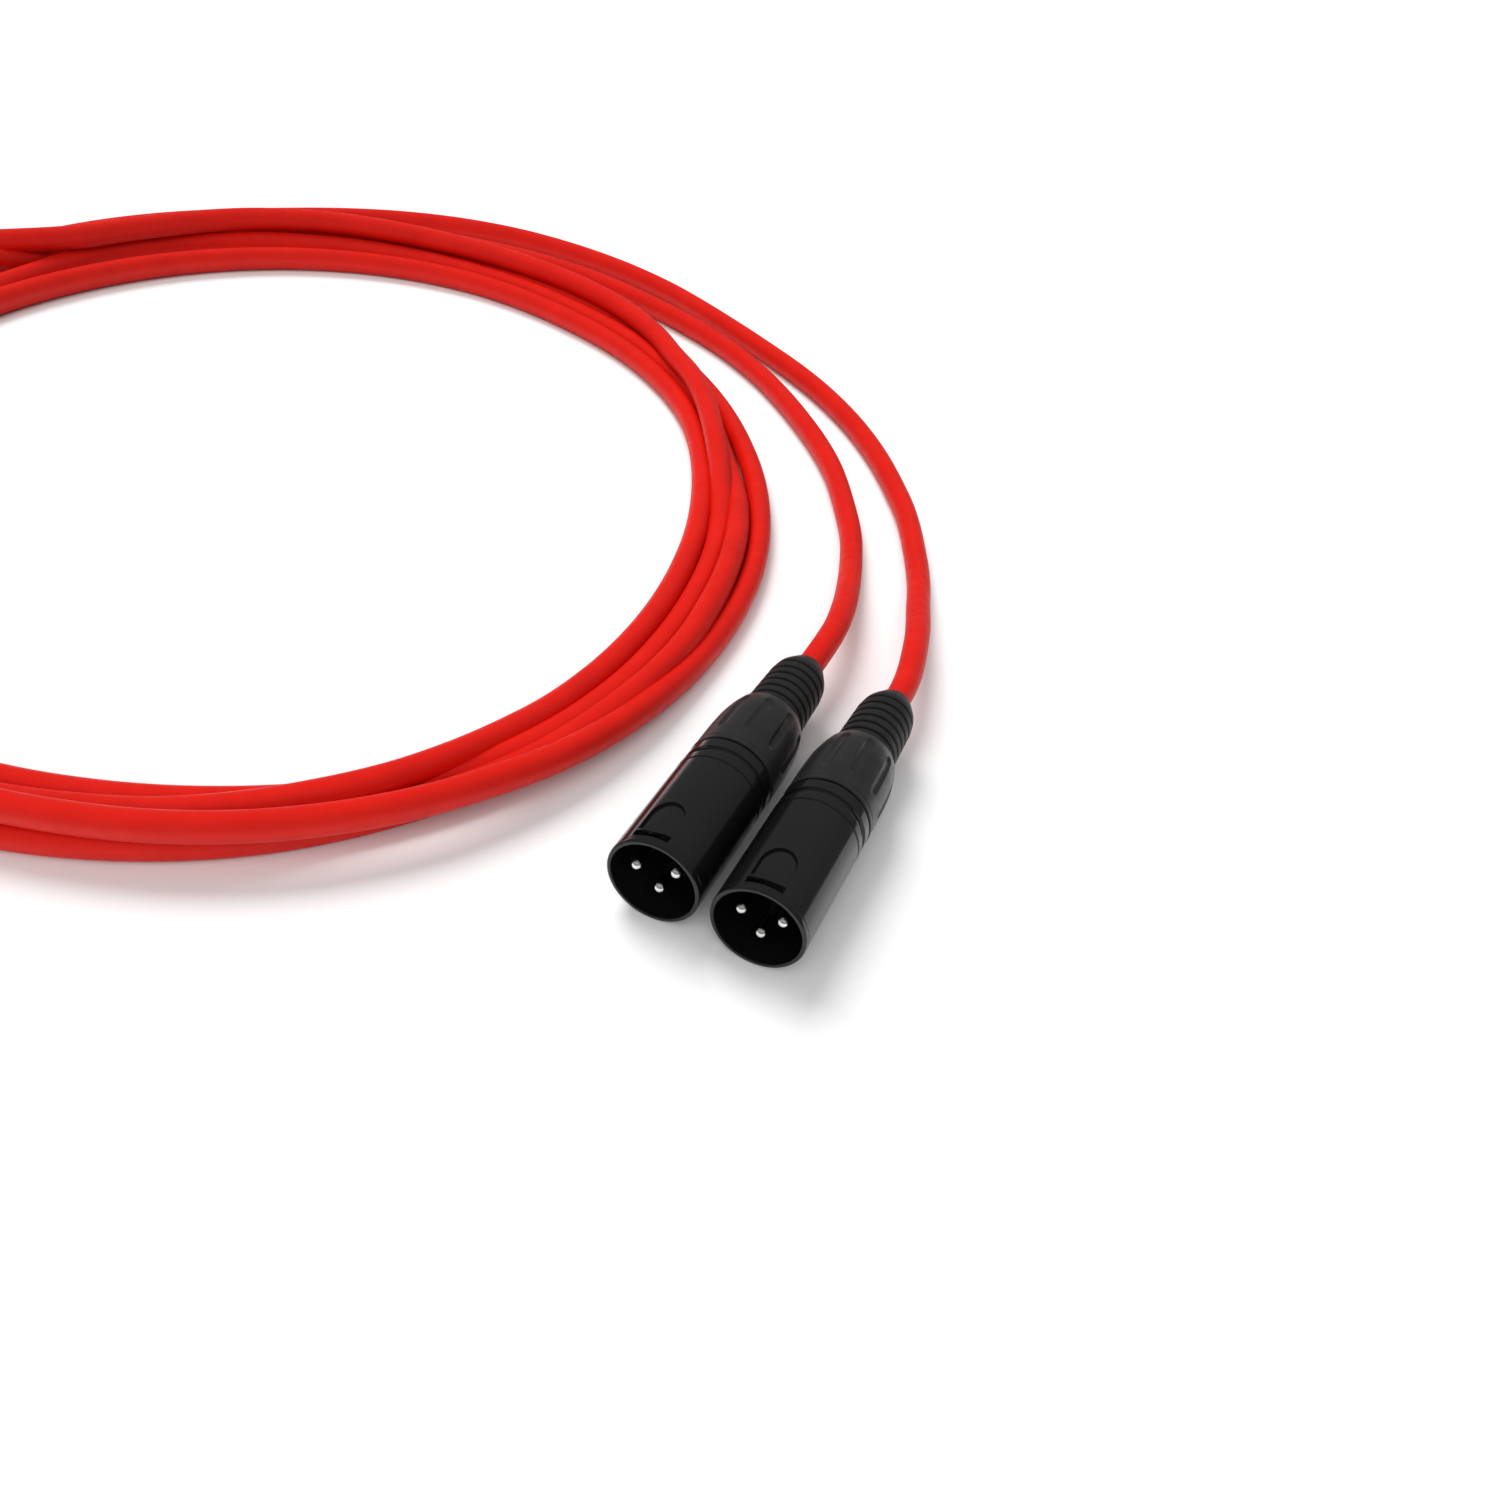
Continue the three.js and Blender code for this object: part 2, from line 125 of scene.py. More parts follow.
TURNS_B = [
    (84, 47.1, LOW), (92, 47.7, LOW), (100, 47.3, LOW), (108, 45, LOW), (115, 41.5, LOW), (121, 38, LOW),
    (126, 35.4, LOW), (132, 33.4, LOW), (140, 32.4, LOW), (150, 30.6, LOW), (156, 28.8, LOW),
    (165, 26, LOW), (180, 21, LOW), (200, 16, LOW), (220, 13, LOW), (240, 11.5, LOW), (260, 10.7, LOW),
    (285, 10.4, LOW), (306, 10.9, LOW), (318, 10.5, 3.2), (330, 11, 4.1), (340, 10.2, 4.6),
    (350, 10.3, 5.6), (360, 9.2, 6.3), (370, 8.4, 6.5), (380, 7.6, 5.9), (390, 6.6, 3.8), (400, 5.4, LOW),
    (410, 6.3, LOW), (420, 6.8, LOW), (432, 6.6, LOW), (444, 5.6, LOW), (456, 6.4, LOW), (468, 8.5, LOW),
    (480, 11, LOW), (490, 13, LOW), (500, 14.3, LOW), (507, 14.4, LOW), (515, 12, LOW), (523, 8.6, LOW),
    (535, 6.3, LOW), (560, 5.5, LOW), (580, 5.8, 5.2), (600, 7, 8.2), (620, 7.6, 9.2), (640, 8, 9.2),
    (650, 9.5, 9.2), (660, 12.3, 9.2), (670, 14.6, 9), (680, 15.8, 8.5), (690, 15.9, 7), (700, 15.1, 5.2),
    (710, 14.2, 3.5), (717, 14, LOW), (732, 14, LOW), (744, 13.5, LOW), (756, 12.8, LOW), (768, 12.3, LOW),
    (780, 12.3, LOW), (792, 12.6, LOW), (804, 11.8, LOW), (816, 12.6, LOW), (828, 14.6, LOW),
    (840, 17.1, LOW), (850, 19.1, LOW), (860, 20.4, LOW), (867, 20.6, LOW), (875, 18.4, 3.2),
    (882, 16.8, 5), (888, 17.6, 8.2),
]

# From the coil to the female connector's sleeve.
END_A = [
    (-126, 122, 9.2), (-136.5, 113, 8), (-148.5, 103.5, 5), (-158.5, 90.5, LOW), (-167, 76.5, LOW),
    (-173.6, 62, 4.2), (-178.2, 47, 6), (-180.6, 33, 8.4), (-181, 21, SHELL_R), (-181, 13, SHELL_R),
    (-181, 5, SHELL_R), (-181, -20, SHELL_R),
]
END_B = [
    (-128, 98, 9.2), (-135, 87, 9), (-142, 75, 7.6), (-147.6, 62, 6), (-151.5, 48, 6.4), (-153.5, 34, 8.4),
    (-154, 21, SHELL_R), (-154, 13, SHELL_R), (-154, 5, SHELL_R), (-154, -20, SHELL_R),
]


def eased(keys, u):
    """The two values at u on a smooth line through (u, value, value) keys, which never overshoots them."""
    i = next((n for n in range(len(keys) - 1) if u <= keys[n + 1][0]), len(keys) - 2)
    a, b = keys[i], keys[i + 1]
    before = keys[max(i - 1, 0)]
    after = keys[min(i + 2, len(keys) - 1)]
    span = b[0] - a[0]
    t = (u - a[0]) / span
    values = []
    for k in (1, 2):
        rise = (b[k] - a[k]) / span
        left = (a[k] - before[k]) / (a[0] - before[0]) if a is not before else rise
        right = (after[k] - b[k]) / (after[0] - b[0]) if b is not after else rise
        start = 0 if left * rise <= 0 else 2 * left * rise / (left + rise)
        stop = 0 if right * rise <= 0 else 2 * right * rise / (right + rise)
        h = (2 * t**3 - 3 * t**2 + 1, t**3 - 2 * t**2 + t, -2 * t**3 + 3 * t**2, t**3 - t**2)
        values.append(h[0] * a[k] + h[1] * span * start + h[2] * b[k] + h[3] * span * stop)
    return values


def catmull_rom(points, spacing):
    """Points every so often along the centripetal Catmull-Rom curve through the given ones."""
    ends = [2 * points[0] - points[1], *points, 2 * points[-1] - points[-2]]
    made = []
    for p0, p1, p2, p3 in zip(ends, ends[1:], ends[2:], ends[3:]):
        t1 = math.sqrt((p1 - p0).length)
        t2 = t1 + math.sqrt((p2 - p1).length)
        t3 = t2 + math.sqrt((p3 - p2).length)
        count = max(1, round((p2 - p1).length / spacing))
        for n in range(count):
            t = t1 + (t2 - t1) * n / count
            a1 = p0 * ((t1 - t) / t1) + p1 * (t / t1)
            a2 = p1 * ((t2 - t) / (t2 - t1)) + p2 * ((t - t1) / (t2 - t1))
            a3 = p2 * ((t3 - t) / (t3 - t2)) + p3 * ((t - t2) / (t3 - t2))
            b1 = a1 * ((t2 - t) / t2) + a2 * (t / t2)
            b2 = a2 * ((t3 - t) / (t3 - t1)) + a3 * ((t - t1) / (t3 - t1))
            made.append(b1 * ((t2 - t) / (t2 - t1)) + b2 * ((t - t1) / (t2 - t1)))
    return [*made, points[-1]]


def cable_route(tail, turns, end):
    """The cable's middle line in metres: its tail, its turns round the coil, and its far end."""
    first, last = turns[0][0], turns[-1][0]
    count = round((last - first) / TURN_STEP)
    angles = [first + (last - first) * n / count for n in range(count + 1)]
    wound = [beside_coil(u, *eased(turns, u)) for u in angles]
    points = [Vector(p) * MM for p in [*tail, *wound, *end]]
    return catmull_rom(points, ROUTE_SPACING)


def add_cable(name, points):
    """A round cable along its middle line, with closed ends."""
    data = bpy.data.curves.new(name, "CURVE")
    data.dimensions = "3D"
    data.bevel_depth = CABLE_D / 2
    data.bevel_resolution = 6
    data.use_fill_caps = True
    spline = data.splines.new("POLY")
    spline.points.add(len(points) - 1)
    for slot, p in zip(spline.points, points):
        slot.co = (*p, 1)
    spline.use_smooth = True
    cable = bpy.data.objects.new(name, data)
    bpy.context.scene.collection.objects.link(cable)
    return cable


ROUTE_A = cable_route(TAIL_A, TURNS_A, END_A)
ROUTE_B = cable_route(TAIL_B, TURNS_B, END_B)
cable_a = add_cable("cable_a", ROUTE_A)
cable_b = add_cable("cable_b", ROUTE_B)

# ---- Materials ----

NOISE_LOW, NOISE_HIGH = 0.3, 0.7  # nearly all of a noise texture's values lie between these


def new_material(name, colour, roughness, metallic=0.0, specular=0.5):
    material = bpy.data.materials.new(name)
    material.use_nodes = True
    shader = material.node_tree.nodes["Principled BSDF"]
    shader.inputs["Base Color"].default_value = (*colour, 1)
    shader.inputs["Roughness"].default_value = roughness
    shader.inputs["Metallic"].default_value = metallic
    shader.inputs["Specular IOR Level"].default_value = specular
    return material


def noise(material, scale, detail):
    """A noise texture in the row's own metres: scale is how many lumps there are to the metre."""
    nodes, links = material.node_tree.nodes, material.node_tree.links
    place = nodes.new("ShaderNodeTexCoord")
    texture = nodes.new("ShaderNodeTexNoise")
    texture.inputs["Scale"].default_value = scale
    texture.inputs["Detail"].default_value = detail
    links.new(place.outputs["Object"], texture.inputs["Vector"])
    return texture.outputs["Fac"]


def mottle(material, scale, low, high):
    """Varies the base colour between two colours."""
    nodes, links = material.node_tree.nodes, material.node_tree.links
    ramp = nodes.new("ShaderNodeValToRGB")
    ramp.color_ramp.elements[0].position = NOISE_LOW
    ramp.color_ramp.elements[1].position = NOISE_HIGH
    ramp.color_ramp.elements[0].color = (*low, 1)
    ramp.color_ramp.elements[1].color = (*high, 1)
    links.new(noise(material, scale, 3), ramp.inputs["Fac"])
    links.new(ramp.outputs["Color"], nodes["Principled BSDF"].inputs["Base Color"])


def smudge(material, scale, low, high):
    """Varies the roughness between two values."""
    nodes, links = material.node_tree.nodes, material.node_tree.links
    spread = nodes.new("ShaderNodeMapRange")
    spread.inputs["From Min"].default_value = NOISE_LOW
    spread.inputs["From Max"].default_value = NOISE_HIGH
    spread.inputs["To Min"].default_value = low
    spread.inputs["To Max"].default_value = high
    links.new(noise(material, scale, 5), spread.inputs["Value"])
    links.new(spread.outputs["Result"], nodes["Principled BSDF"].inputs["Roughness"])


def grain(material, scale, height):
    """Raises the surface by a height in metres."""
    nodes, links = material.node_tree.nodes, material.node_tree.links
    bump = nodes.new("ShaderNodeBump")
    bump.inputs["Distance"].default_value = height
    links.new(noise(material, scale, 2), bump.inputs["Height"])
    links.new(bump.outputs["Normal"], nodes["Principled BSDF"].inputs["Normal"])


def red_jacket():
    material = new_material("red_pvc", (0.62, 0.006, 0.001), 0.5, specular=0.35)
    mottle(material, 90, (0.59, 0.005, 0.0008), (0.65, 0.007, 0.0012))
    smudge(material, 400, 0.5, 0.62)
    grain(material, 1500, 0.00002)
    return material


def gloss_shell():
    material = new_material("gloss_black", (0.004, 0.004, 0.0045), 0.12, specular=0.4)
    mottle(material, 60, (0.0035, 0.0035, 0.004), (0.006, 0.006, 0.0065))
    smudge(material, 250, 0.09, 0.16)
    grain(material, 900, 0.000006)
    return material


def satin_black(name, level, low, high):
    """A matt black at a grey level, with its roughness between low and high."""
    material = new_material(name, (level, level, level * 1.03), (low + high) / 2, specular=0.4)
    mottle(material, 300, (level * 0.85,) * 3, (level * 1.2,) * 3)
    smudge(material, 600, low, high)
    grain(material, 4500, 0.000018)
    return material


def silver_plate():
    material = new_material("silver_plate", (0.78, 0.77, 0.75), 0.12, metallic=1.0)
    mottle(material, 500, (0.72, 0.71, 0.69), (0.82, 0.81, 0.79))
    smudge(material, 900, 0.06, 0.14)
    grain(material, 3000, 0.000005)
    return material


RED = red_jacket()
GLOSS = gloss_shell()
SATIN = satin_black("satin_plastic", 0.012, 0.3, 0.42)
RUBBER = satin_black("sleeve_rubber", 0.011, 0.5, 0.65)
INSERT = satin_black("insert_plastic", 0.006, 0.4, 0.55)
LATCH_BLACK = satin_black("latch_plastic", 0.008, 0.22, 0.32)
CLAMP = satin_black("clamp_plastic", 0.05, 0.45, 0.6)
SILVER = silver_plate()


def dress(piece, material):
    piece.data.materials.clear()
    piece.data.materials.append(material)


dress(cable_a, RED)
dress(cable_b, RED)
for cable in (cable_a, cable_b):
    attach(cable, "root")
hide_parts("cord_coil", "cord_tail_a", "cord_end_a")
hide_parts("cord_tail_b", "cord_end_b")


# ---- Connector pieces, in mm along each connector's own axis Y: its front rim is y = 0 ----

FACETS = 96
JACKET_R = 3.12  # the bore round the cable
CONTACTS = [(-4.1, 1.6), (4.1, 1.6), (0, -2.9)]
CONTACT_R = 1.2
CUP_END = 26.6
INSERT_END = 21.5
SPIGOT_R = 8.15
THREAD_START, THREAD_END = 34.2, 40.8
THREAD_PITCH = 1.25
RECESSES = 10
RIBS = 6
RIB_START = 54.1
RIB_PITCH = 2.66
TIP_END = 76.4
SHARP = math.radians(32)  # an edge that turns more than this is drawn sharp
CONNECTORS = {
    "male_a": {"at": (159.9, -5), "roll": -15},
    "male_b": {"at": (181, -5), "roll": -7.5},
    "female_a": {"at": (-181, -75), "roll": 7.5},
    "female_b": {"at": (-154, -75), "roll": 4},
}
HOUSING_REAR = [
    (SHELL_R, 26.75, 0.12), (9.2, 26.9, 0.06), (9.2, 27.2, 0.06), (SHELL_R, 27.35, 0.12),
    (SHELL_R, 29.2, 0.15), (8.9, 29.4, 0.15), (8.9, 30.8, 0.15), (9.38, 31, 0.15), (9.38, 33.5, 0.25),
    (SPIGOT_R, 33.6, 0.1), *[(SPIGOT_R, THREAD_START + 0.2 * n, 0) for n in range(33)],
    (SPIGOT_R, 41, 0.2), (7, 41, 0.2),
]


def rounded(corners):
    """An outline with its corners rounded: each corner is (radius, y, rounding)."""
    outline = []
    for i, (r, y, size) in enumerate(corners):
        here = Vector((r, y))
        before = Vector(corners[i - 1][:2])
        after = Vector(corners[(i + 1) % len(corners)][:2])
        if size == 0:
            outline.append(here)
            continue
        start = here + (before - here).normalized() * size
        stop = here + (after - here).normalized() * size
        for n in range(5):
            t = n / 4
            outline.append(start * (1 - t) ** 2 + here * 2 * t * (1 - t) + stop * t * t)
    return outline


def turned(outline, facets=FACETS, relief=None):
    """A closed shape turned about Y. relief(angle, y, radius) is added to the radius where it is given."""
    bm = bmesh.new()
    rings = []
    for r, y in outline:
        if r == 0:
            rings.append([bm.verts.new((0, y, 0))] * facets)
            continue
        ring = []
        for k in range(facets):
            a = 2 * math.pi * k / facets
            reach = r + (relief(a, y, r) if relief else 0)
            ring.append(bm.verts.new((reach * math.sin(a), y, reach * math.cos(a))))
        rings.append(ring)
    closed = outline[0][0] != 0
    for ring, beyond in zip(rings, rings[1:] + rings[:1] if closed else rings[1:]):
        for k in range(facets):
            corners = [ring[k - 1], ring[k], beyond[k], beyond[k - 1]]
            corners = [v for n, v in enumerate(corners) if v is not corners[n - 1]]
            bm.faces.new(corners)
    bmesh.ops.recalc_face_normals(bm, faces=bm.faces)
    return bm


def rod(radius, start, end, x=0, z=0):
    bm = turned([(0, start), (radius, start), (radius, end), (0, end)], 32)
    bmesh.ops.translate(bm, verts=bm.verts, vec=(x, 0, z))
    return bm


def block(width, start, end, low, high):
    bm = bmesh.new()
    bmesh.ops.create_cube(bm, size=1)
    bmesh.ops.scale(bm, verts=bm.verts, vec=(width, end - start, high - low))
    bmesh.ops.translate(bm, verts=bm.verts, vec=(0, (start + end) / 2, (low + high) / 2))
    return bm


def loose_object(bm):
    mesh = bpy.data.meshes.new("loose")
    bm.to_mesh(mesh)
    bm.free()
    made = bpy.data.objects.new("loose", mesh)
    bpy.context.scene.collection.objects.link(made)
    return made


def carve(bm, cutters, operation="DIFFERENCE"):
    """Cuts each cutter out of the shape, or joins it on."""
    body = loose_object(bm)
    tools = [loose_object(cutter) for cutter in cutters]
    for tool in tools:
        step = body.modifiers.new("cut", "BOOLEAN")
        step.operation = operation
        step.solver = "EXACT"
        step.object = tool
    bpy.context.view_layer.update()
    made = bmesh.new()
    made.from_object(body, bpy.context.evaluated_depsgraph_get())
    for piece in (body, *tools):
        bpy.data.objects.remove(piece)
    return made


def place_piece(node, bm, material, body="root"):
    """Puts a finished shape where its CAD node is, as the piece that stands for it."""
    connector = next(name for name in CONNECTORS if node.startswith(name))
    (x, front), roll = CONNECTORS[connector]["at"], CONNECTORS[connector]["roll"]
    spot = Matrix.Translation(Vector((x, front, SHELL_R)) * MM)
    bm.transform(spot @ Matrix.Rotation(math.radians(roll), 4, "Y") @ Matrix.Scale(MM, 4))
    bmesh.ops.remove_doubles(bm, verts=bm.verts, dist=0.002 * MM)
    for face in bm.faces:
        face.smooth = True
    for edge in bm.edges:
        edge.smooth = len(edge.link_faces) == 2 and edge.calc_face_angle(0) < SHARP
    mesh = bpy.data.meshes.new(f"{node}_detailed")
    bm.to_mesh(mesh)
    bm.free()
    piece = bpy.data.objects.new(mesh.name, mesh)
    bpy.context.scene.collection.objects.link(piece)
    weighted = piece.modifiers.new("even_shading", "WEIGHTED_NORMAL")
    weighted.keep_sharp = True
    dress(piece, material)
    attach(piece, body)
    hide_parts(node)
    return piece


def thread(angle, y, r):
    """The spigot's screw thread."""
    on_spigot = r < SPIGOT_R + 0.35 and THREAD_START < y < THREAD_END
    if not on_spigot:
        return 0
    phase = (y / THREAD_PITCH + angle / (2 * math.pi)) % 1
    return 0.22 * (1 - abs(2 * phase - 1)) - 0.05


# ---- The male shell ----


def recess_cutter():
    """The shallow recess behind the latch slot: square at the front, round at the back, sloped sides."""
    half, front, back, deep = 3.45, 3.9, 12.1, SHELL_R - 0.5
    columns = 24
    bm = bmesh.new()
    grid = []
    for n in range(columns + 1):
        across = -math.cos(math.pi * n / columns)
        column = []
        for inset, radius in ((0.1, deep), (0, SHELL_R), (-0.2, SHELL_R + 1)):
            x = across * (half - inset)
            arc = (half - inset) * math.sqrt(1 - across**2)
            z = math.sqrt(radius**2 - x**2)
            column.append([bm.verts.new((x, y, z)) for y in (front + inset, back - half + arc)])
        grid.append(column)
    for left, right in zip(grid, grid[1:]):
        bm.faces.new([left[0][0], right[0][0], right[0][1], left[0][1]])
        bm.faces.new([left[2][0], left[2][1], right[2][1], right[2][0]])
        for lower, upper in ((0, 1), (1, 2)):
            bm.faces.new([left[lower][0], left[upper][0], right[upper][0], right[lower][0]])
            bm.faces.new([left[lower][1], right[lower][1], right[upper][1], left[upper][1]])
    for column in (grid[0], grid[-1]):
        for lower, upper in ((0, 1), (1, 2)):
            bm.faces.new([column[lower][0], column[lower][1], column[upper][1], column[upper][0]])
    bmesh.ops.recalc_face_normals(bm, faces=bm.faces)
    return bm


def male_shell():
    outline = rounded([
        (8.6, 0, 0.2), (9.3, 0, 0.25), (SHELL_R, 0.4, 0.2), (SHELL_R, 1.1, 0.04), (9.4, 1.18, 0.03),
        (9.4, 1.3, 0.03), (SHELL_R, 1.38, 0.04), *HOUSING_REAR,
        (7, 24.5, 0.2), (8.1, 24, 0.1), (8.1, 8, 3),
    ])
    slot = block(7.2, 1.75, 3.25, 5, 10.2)
    for corner in slot.verts:
        if corner.co.y > 3:
            corner.co.y += 0.45 * (9.2 - corner.co.z)  # the slot's back leans under its edge
    return carve(turned(outline, relief=thread), [slot, recess_cutter()])


def contact_insert(radius, start):
    """The disc that holds the contacts, and the cutters for their holes."""
    outline = [(0, start, 0), (radius, start, 0.3), (radius, INSERT_END, 0.3), (0, INSERT_END, 0)]
    disc = turned(rounded(outline))
    holes = [rod(CONTACT_R + 0.06, start - 2, INSERT_END + 1, x, z) for x, z in CONTACTS]
    return disc, holes


def male_insert():
    """The disc at the back of the mouth, with a raised boss round each pin."""
    disc, holes = contact_insert(7.8, 14.5)
    bosses = []
    for x, z in CONTACTS:
        boss = turned(rounded([(0, 14.1, 0), (2.1, 14.1, 0.2), (2.1, 15, 0), (0, 15, 0)]), 40)
        bmesh.ops.translate(boss, verts=boss.verts, vec=(x, 0, z))
        bosses.append(boss)
    flat = block(3.2, 13, 23, -10, -6.95)
    return carve(carve(disc, bosses, "UNION"), [*holes, flat])


def pin(x, z):
    """A round-nosed pin with a solder cup at its back."""
    angles = [math.pi / 2 * n / 10 for n in range(1, 11)]
    nose = [(CONTACT_R * math.sin(a), 2.5 - 1.2 * math.cos(a)) for a in angles]
    tail = [(CONTACT_R, 13), (CONTACT_R, CUP_END), (0.95, CUP_END), (0.95, 23.6), (0, 23.6)]
    bm = turned([(0, 1.3), *nose, *tail], 48)
    bmesh.ops.translate(bm, verts=bm.verts, vec=(x, 0, z))
    return bm


# ---- The female shell and its latch ----

LATCH = {"width": 6.6, "start": 11.6, "end": 28, "y": 26.3, "z": 7.6, "pin": 0.6}
CHANNEL_FLOOR = 5.6


def across(radius, reach):
    """A rod across the connector, along the latch's pivot."""
    bm = rod(radius, -reach, reach)
    bmesh.ops.rotate(bm, verts=bm.verts, matrix=Matrix.Rotation(math.pi / 2, 3, "Z"))
    bmesh.ops.translate(bm, verts=bm.verts, vec=(0, LATCH["y"], LATCH["z"]))
    return bm


def female_shell():
    outline = rounded([
        (6.95, 0, 0.2), (7.4, 0, 0.2), (7.75, 0.5, 0.2), (7.75, 15.5, 0.1), (9.2, 15.5, 0.15),
        (SHELL_R, 15.9, 0.2), *HOUSING_REAR, (7, 25, 0.2), (6.95, 24.6, 0),
    ])
    channel = block(LATCH["width"] + 0.6, LATCH["start"] - 1, LATCH["end"] + 0.6, CHANNEL_FLOOR, 12)
    return carve(turned(outline, relief=thread), [channel, across(LATCH["pin"] + 0.05, 20)])


def female_insert():
    """The disc that fills the nose, with a flared mouth over each socket."""
    disc, holes = contact_insert(6.65, 0.4)
    mouths = []
    for x, z in CONTACTS:
        mouth = turned([(0, -0.1), (1.75, -0.1), (CONTACT_R + 0.06, 0.9), (0, 0.9)], 32)
        bmesh.ops.translate(mouth, verts=mouth.verts, vec=(x, 0, z))
        mouths.append(mouth)
    clearance = block(20, LATCH["start"] - 1.2, 23, CHANNEL_FLOOR, 12)
    flat = block(3.2, -1, 23, -10, -5.8)
    return carve(disc, [*mouths, *holes, clearance, flat])


def socket(x, z):
    """A tube that takes a pin, with a solder cup at its back."""
    bm = turned([
        (0, 14), (0.95, 14), (0.95, 1.25), (1.05, 1), (CONTACT_R, 1), (CONTACT_R, CUP_END),
        (0.95, CUP_END), (0.95, 23.6), (0, 23.6),
    ], 48)
    bmesh.ops.translate(bm, verts=bm.verts, vec=(x, 0, z))
    return bm


def latch():
    """The lever's side view, pulled across the connector, with ridges on the thumb pad."""
    side = rounded([
        (11.6, 6.9, 0.2), (11.6, 8, 0.3), (12.2, 8.75, 0.3), (13.2, 8.75, 0.15), (13.6, 7.9, 0.2),
        (15.8, 8, 0.4), (17.2, 9.7, 0.4), (18, 9.9, 0.3),
        *[(18.6 + 0.5 * n, 9.9 if n % 2 == 0 else 9.62, 0.12) for n in range(11)],
        (24.2, 9.85, 0.3), (25, 9.2, 0.3), (LATCH["end"], 9.1, 0.4), (LATCH["end"], 6.4, 0.4),
        (24.6, 6.4, 0.2), (24.2, 6.9, 0.2),
    ])
    half = LATCH["width"] / 2
    bm = bmesh.new()
    layers = []
    for x, shrink in ((-half, 0.15), (-half + 0.15, 0), (half - 0.15, 0), (half, 0.15)):
        middle = Vector((20, 8.1))
        points = [p + (middle - p).normalized() * shrink for p in side]
        layers.append([bm.verts.new((x, y, z)) for y, z in points])
    for low, high in zip(layers, layers[1:]):
        for n in range(len(side)):
            bm.faces.new([low[n - 1], low[n], high[n], high[n - 1]])
    bm.faces.new(layers[0])
    bm.faces.new(layers[-1])
    bmesh.ops.recalc_face_normals(bm, faces=bm.faces)
    return carve(bm, [across(LATCH["pin"] + 0.05, 20)])


# ---- Rear pieces of every connector ----


def bushing():
    """The grip nut: its outside narrows towards the cable and has long finger recesses round it."""
    body = [(35.5, 9.36, 0), (40, 9.4, 0), (46, 9.2, 0), (50.6, 8.6, 0), (53.3, 7.95, 0)]
    heights = [35.5 + (53.3 - 35.5) * n / 72 for n in range(73)]
    side = [(eased(body, y)[0], y, 0) for y in heights]
    outline = rounded([
        (8.6, 34, 0.12), (9.46, 34, 0.22), (9.46, 35, 0.12), (9.24, 35.2, 0.06), *side,
        (7.5, 53.8, 0.3), (6, 53.8, 0.2), (6, 50.6, 0), (7.2, 49.6, 0), (7.2, 44.5, 0), (8.6, 43, 0),
    ])

    def recess(angle, y, r):
        if y < 37 or r < 7.6:
            return 0
        step = 2 * math.pi / RECESSES
        aside = ((angle / step) % 1 - 0.5) * step * r
        beyond = max(40 - y, 0, y - 50)
        near = math.hypot(aside, beyond * 0.6) / 0.95
        return -0.5 * math.sqrt(1 - near**2) if near < 1 else 0

    return turned(outline, 320, recess)


def kink_sleeve():
    """The ribbed rubber strain relief: its smooth tip narrows on to the cable."""
    corners = [(JACKET_R, 47, 0), (6.8, 47, 0.2), (6.8, 49, 0.2), (5.7, 50.2, 0), (5.7, RIB_START, 0)]
    for n in range(RIBS):
        y, r = RIB_START + RIB_PITCH * n, 6.92 - 0.075 * n
        corners += [(r, y, 0.2), (r - 0.02, y + 1.75, 0.25)]
        corners += [(r - 0.65, y + 2.0, 0.12), (r - 0.65, y + 2.55, 0.1)]
    corners += [(6.35, 70.1, 0.2), (6.1, 71.8, 0.8), (4.3, 75.8, 0.5)]
    corners += [(3.9, TIP_END, 0.2), (JACKET_R + 0.1, TIP_END, 0.15), (JACKET_R, 75.5, 0)]
    return turned(rounded(corners))


def add_connector(name):
    """Every detailed piece of one connector, each on the body that it moves with."""
    male = name.startswith("male")
    contact = "pin" if male else "socket"
    place_piece(f"{name}_housing", male_shell() if male else female_shell(), GLOSS)
    place_piece(f"{name}_insert", male_insert() if male else female_insert(), INSERT)
    for n, (x, z) in enumerate(CONTACTS):
        place_piece(f"{name}_{contact}_{n + 1}", pin(x, z) if male else socket(x, z), SILVER)
    if not male:
        place_piece(f"{name}_latch", latch(), LATCH_BLACK, f"{name}_latch_body")
    place_piece(f"{name}_bushing", bushing(), SATIN, f"{name}_bushing_body")
    place_piece(f"{name}_kink_sleeve", kink_sleeve(), RUBBER, f"{name}_sleeve_body")


for name in CONNECTORS:
    add_connector(name)


# ---- CAD nodes that stay, with their own materials ----

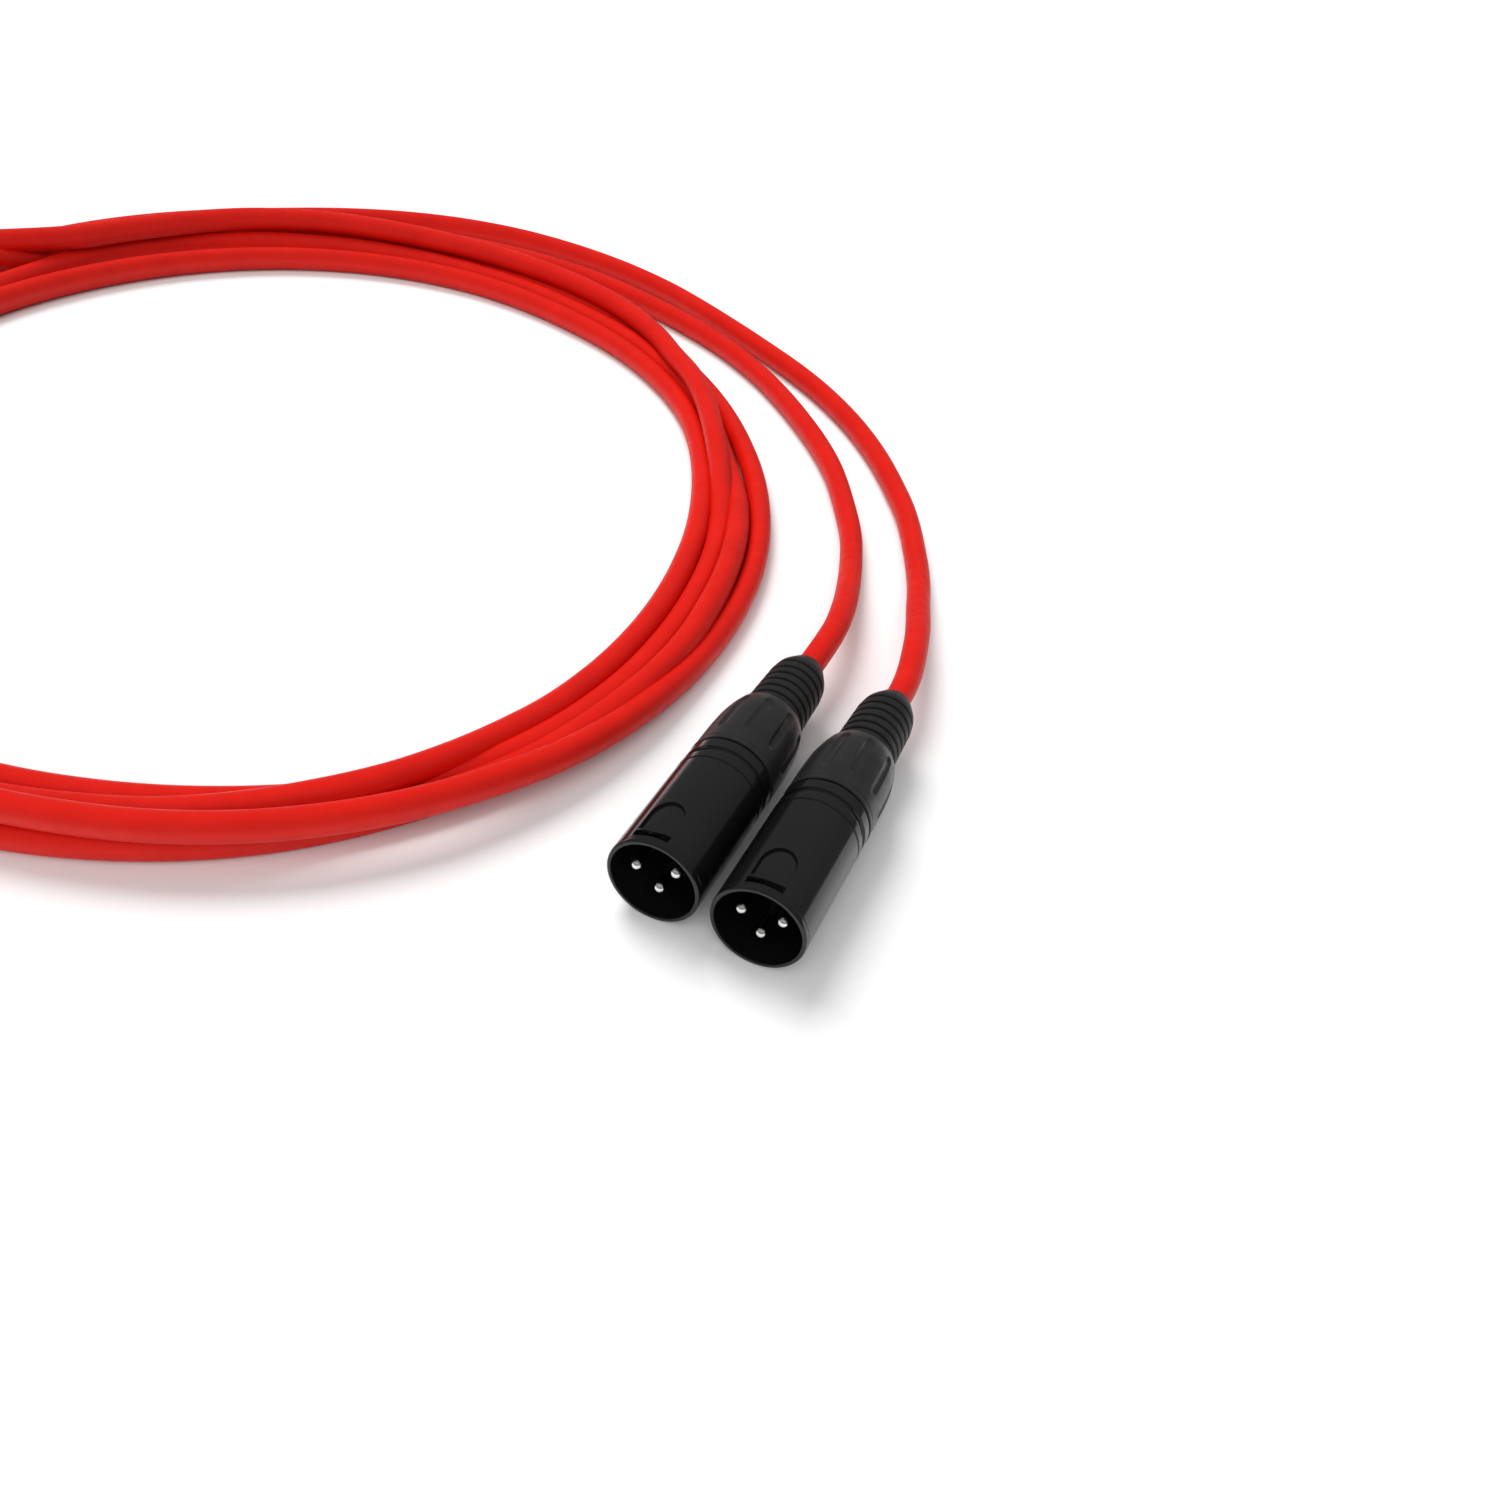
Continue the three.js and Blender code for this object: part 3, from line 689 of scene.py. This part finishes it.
KEPT = {
    "cable_clamp": CLAMP,
    "ground_strip": SILVER,
    "latch_pivot": SILVER,
    "latch_spring": SILVER,
}
for name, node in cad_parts.items():
    material = next((KEPT[ending] for ending in KEPT if name.endswith(ending)), None)
    if material is None:
        continue  # a detailed piece stands for this node
    if not node.material_slots:
        node.data.materials.append(material)
    for slot in node.material_slots:
        slot.material = material

# ---- Floor, lights and world ----

FLOOR_REACH = 40
KEY_FROM = (-0.75, 0.45, 1.0)
FILL_FROM = (0.15, -1.0, 0.9)
WALL_LIGHT = 0.2
CEILING_LIGHT = 0.38


def add_floor():
    mesh = bpy.data.meshes.new("floor")
    corners = [(x * FLOOR_REACH, y * FLOOR_REACH, 0) for x, y in ((-1, -1), (1, -1), (1, 1), (-1, 1))]
    mesh.from_pydata(corners, [], [(0, 1, 2, 3)])
    floor = bpy.data.objects.new("floor", mesh)
    bpy.context.scene.collection.objects.link(floor)
    dress(floor, new_material("pale_floor", (0.9, 0.9, 0.9), 0.9, specular=0.1))


def add_softbox(name, energy, spread, come_from):
    """A large soft light far away. It lights the pieces, but isn't mirrored in them."""
    data = bpy.data.lights.new(name, "SUN")
    data.energy = energy
    data.angle = math.radians(spread)
    softbox = bpy.data.objects.new(name, data)
    softbox.visible_glossy = False
    softbox.rotation_euler = Vector(come_from).to_track_quat("Z", "Y").to_euler()
    bpy.context.scene.collection.objects.link(softbox)


def add_world():
    """A pale studio: bright overhead, darker towards the walls."""
    world = bpy.data.worlds.new("studio")
    world.use_nodes = True
    nodes, links = world.node_tree.nodes, world.node_tree.links
    place = nodes.new("ShaderNodeTexCoord")
    split = nodes.new("ShaderNodeSeparateXYZ")
    ramp = nodes.new("ShaderNodeValToRGB")
    ramp.color_ramp.elements[0].position = 0.1
    ramp.color_ramp.elements[0].color = (WALL_LIGHT,) * 3 + (1,)
    ramp.color_ramp.elements[1].position = 0.75
    ramp.color_ramp.elements[1].color = (CEILING_LIGHT,) * 3 + (1,)
    links.new(place.outputs["Generated"], split.inputs["Vector"])
    links.new(split.outputs["Z"], ramp.inputs["Fac"])
    links.new(ramp.outputs["Color"], nodes["Background"].inputs["Color"])
    bpy.context.scene.world = world


add_floor()
add_softbox("key", 2.6, 34, KEY_FROM)
add_softbox("fill", 1.5, 60, FILL_FROM)
add_world()
bpy.context.scene.view_settings.view_transform = "Standard"
